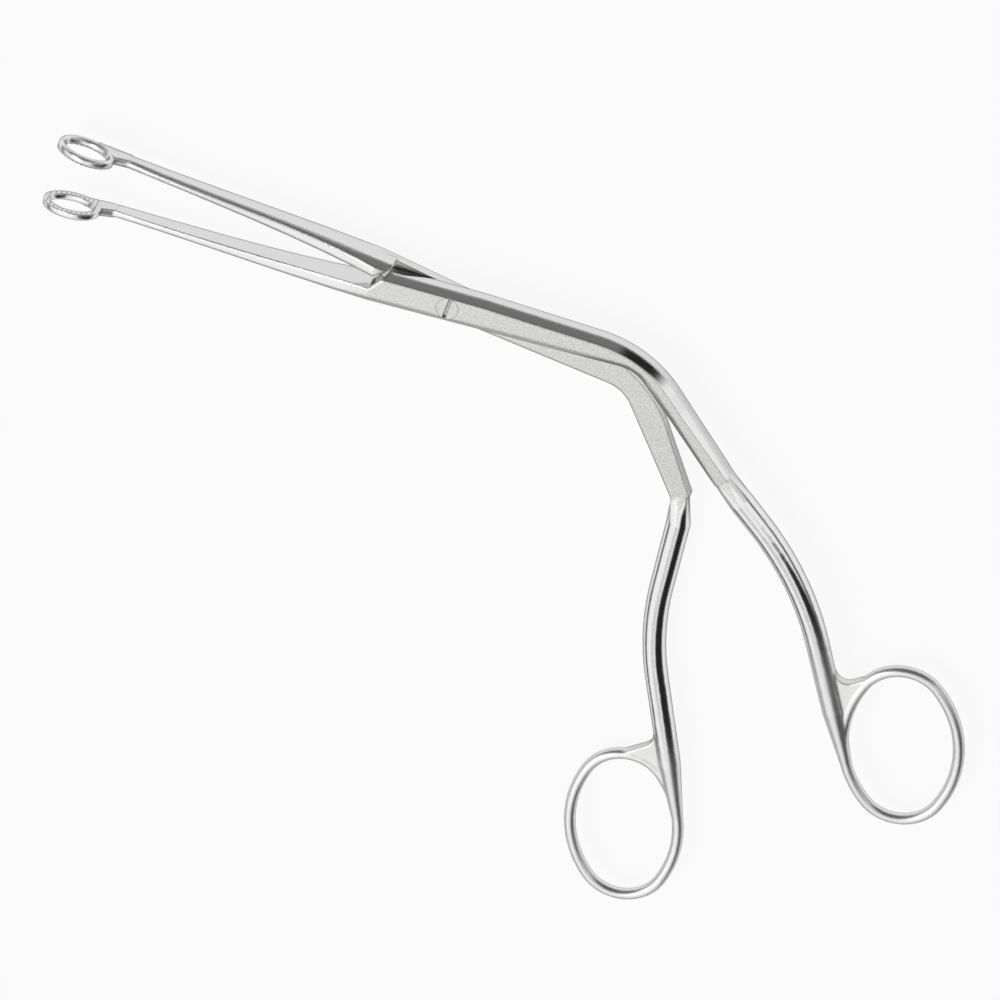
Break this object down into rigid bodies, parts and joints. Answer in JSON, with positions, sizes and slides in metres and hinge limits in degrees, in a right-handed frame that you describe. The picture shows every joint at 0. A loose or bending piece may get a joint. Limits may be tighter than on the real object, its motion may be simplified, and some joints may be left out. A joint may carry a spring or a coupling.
{
  "type": "magill forceps",
  "caption": "Angled airway forceps: two long jaws with oval fenestrated toothed tips, a lap joint with one pivot screw, and cranked round shanks that end in finger rings.",
  "frame": {"origin": "on the pivot axis, in the plane of the joint's flat underside", "axes": "+X from the jaws towards the handles along the line that halves the opening, +Z along the pivot towards the screw head, +Y to the side away from the finger rings"},
  "size_m": [0.245, 0.1493, 0.0136],
  "materials": {
    "front_arm": "satin stainless with polished bevels",
    "rear_arm": "satin stainless with polished bevels",
    "pivot_screw": "satin stainless"
  },
  "bodies": {
    "rear": {"rear_arm": "rear_arm", "pivot_screw": "pivot_screw"},
    "front": {"front_arm": "front_arm"}
  },
  "joints": [
    {"name": "pivot", "type": "hinge", "parent": "rear", "child": "front", "pos_m": [0, 0, 0.0045], "axis": [0, 0, 1], "range_deg": [-8.1, 22]}
  ]
}
